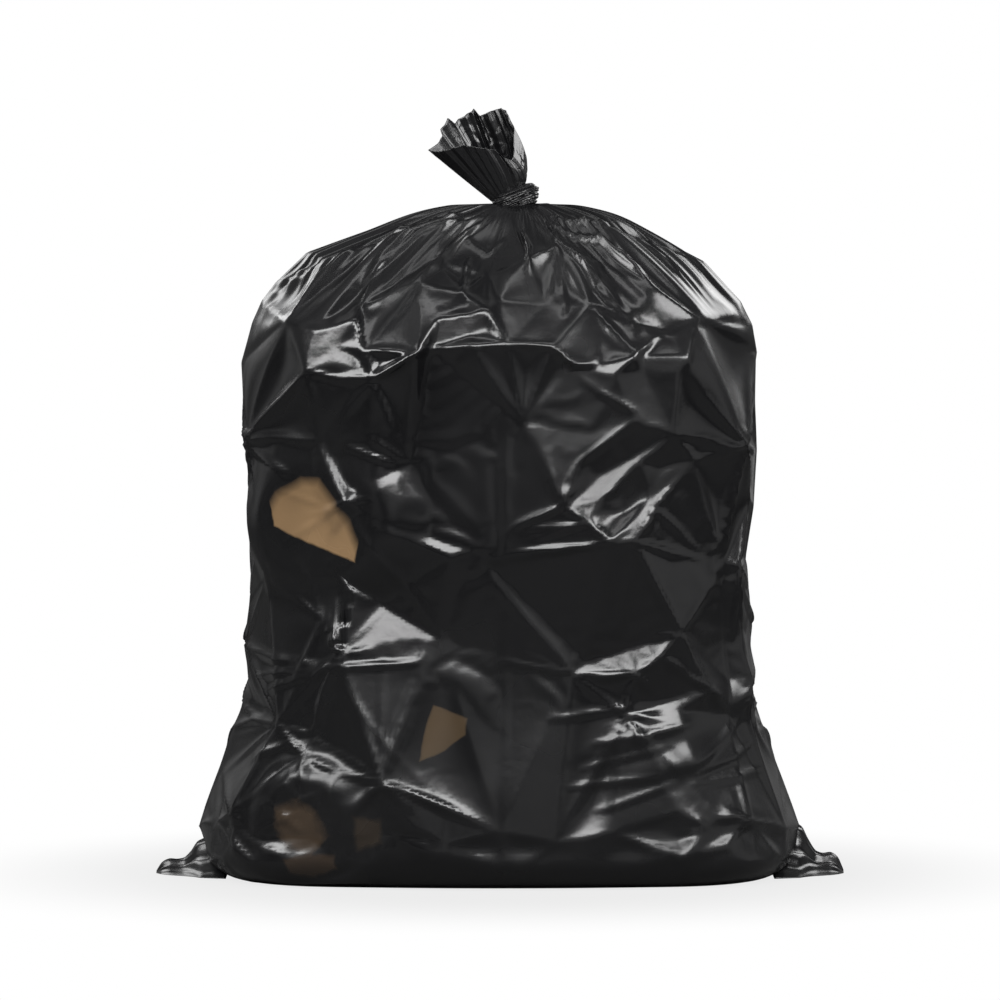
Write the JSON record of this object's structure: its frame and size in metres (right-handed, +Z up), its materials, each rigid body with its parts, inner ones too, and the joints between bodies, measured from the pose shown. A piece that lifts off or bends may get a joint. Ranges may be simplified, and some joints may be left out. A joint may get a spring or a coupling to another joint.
{
  "type": "filled refuse sack",
  "caption": "Filled, standing refuse sack of thin black film, gathered and knotted at the neck, with carton scraps against the film.",
  "frame": {"origin": "middle of the foot, on the ground the sack stands on", "axes": "+Z up towards the knot, +X towards the sack's right side as its front is seen, -Y towards the front"},
  "size_m": [0.654, 0.3793, 0.7343],
  "materials": {
    "film": "glossy thin film",
    "carton": "matt board",
    "kraft_paper": "crumpled matt paper"
  },
  "bodies": {
    "root": {"sack": "film", "carton_flap": "carton", "carton_strip": "carton", "kraft_paper_wad": "kraft_paper", "carton_tray_corner": "carton", "carton_chip": "carton"}
  },
  "joints": []
}
